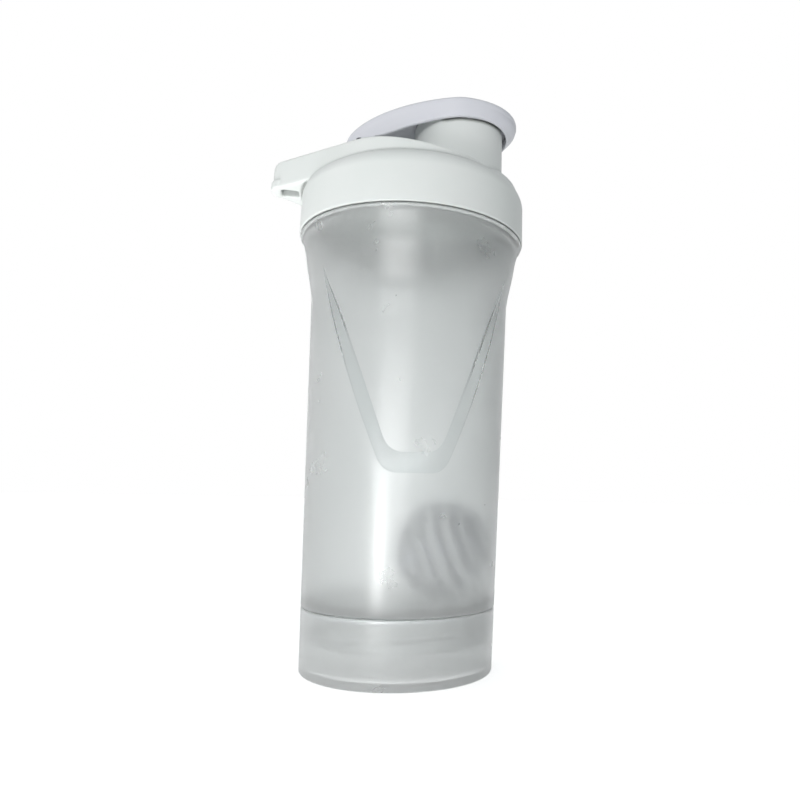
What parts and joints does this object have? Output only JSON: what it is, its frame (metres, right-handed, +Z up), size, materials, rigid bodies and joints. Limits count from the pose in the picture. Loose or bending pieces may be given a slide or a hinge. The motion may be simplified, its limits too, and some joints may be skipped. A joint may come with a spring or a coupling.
{
  "type": "protein shaker bottle",
  "caption": "Tall tapered frosted shaker with a screw lid, flip cap over a spout, a carry tab, a loose wire whisk ball and a screw-on storage cup under its base.",
  "frame": {"origin": "centre of the flat underside of the storage cup, on the bottle's axis", "axes": "+Z up along the bottle's axis, +X towards the spout, -X towards the carry tab and the cap's hinge"},
  "size_m": [0.11, 0.0968, 0.2371],
  "materials": {
    "frosted_cup": "frosted translucent moulding with polished edges on the panels",
    "lid_plastic": "satin off-white moulding",
    "cap_plastic": "glossy cool white moulding",
    "silicone": "soft translucent silicone",
    "steel_wire": "drawn stainless wire",
    "hinge_steel": "ground stainless pin"
  },
  "bodies": {
    "storage": {"storage_cup": "frosted_cup"},
    "base_ring": {"base_seal": "silicone"},
    "cup": {"cup": "frosted_cup"},
    "whisk": {"whisk_ball": "steel_wire"},
    "lid_ring": {"lid_gasket": "silicone"},
    "lid": {"lid": "lid_plastic", "hinge_pin": "hinge_steel"},
    "cap": {"flip_cap": "cap_plastic", "spout_seal": "silicone"}
  },
  "joints": [
    {"name": "cup_rise", "type": "slide", "parent": "storage", "child": "base_ring", "axis": [0, 0, 1], "range_m": [0, 0.0201]},
    {"name": "cup_unscrew", "type": "hinge", "parent": "base_ring", "child": "cup", "pos_m": [0, 0, 0.0241], "axis": [0, 0, 1], "range_deg": [0, 720]},
    {"name": "ball_travel", "type": "slide", "parent": "cup", "child": "whisk", "axis": [0, 0, 1], "range_m": [0, 0.115]},
    {"name": "lid_rise", "type": "slide", "parent": "cup", "child": "lid_ring", "axis": [0, 0, 1], "range_m": [0, 0.0241]},
    {"name": "lid_unscrew", "type": "hinge", "parent": "lid_ring", "child": "lid", "pos_m": [0, 0, 0.1747], "axis": [0, 0, 1], "range_deg": [0, 720]},
    {"name": "flip_cap_hinge", "type": "hinge", "parent": "lid", "child": "cap", "pos_m": [-0.0255, 0, 0.2161], "axis": [0, -1, 0], "range_deg": [0, 150]}
  ],
  "couplings": [
    {"joint": "cup_rise", "follows": "cup_unscrew", "m_per_rad": 0.0015915},
    {"joint": "lid_rise", "follows": "lid_unscrew", "m_per_rad": 0.0019099}
  ]
}
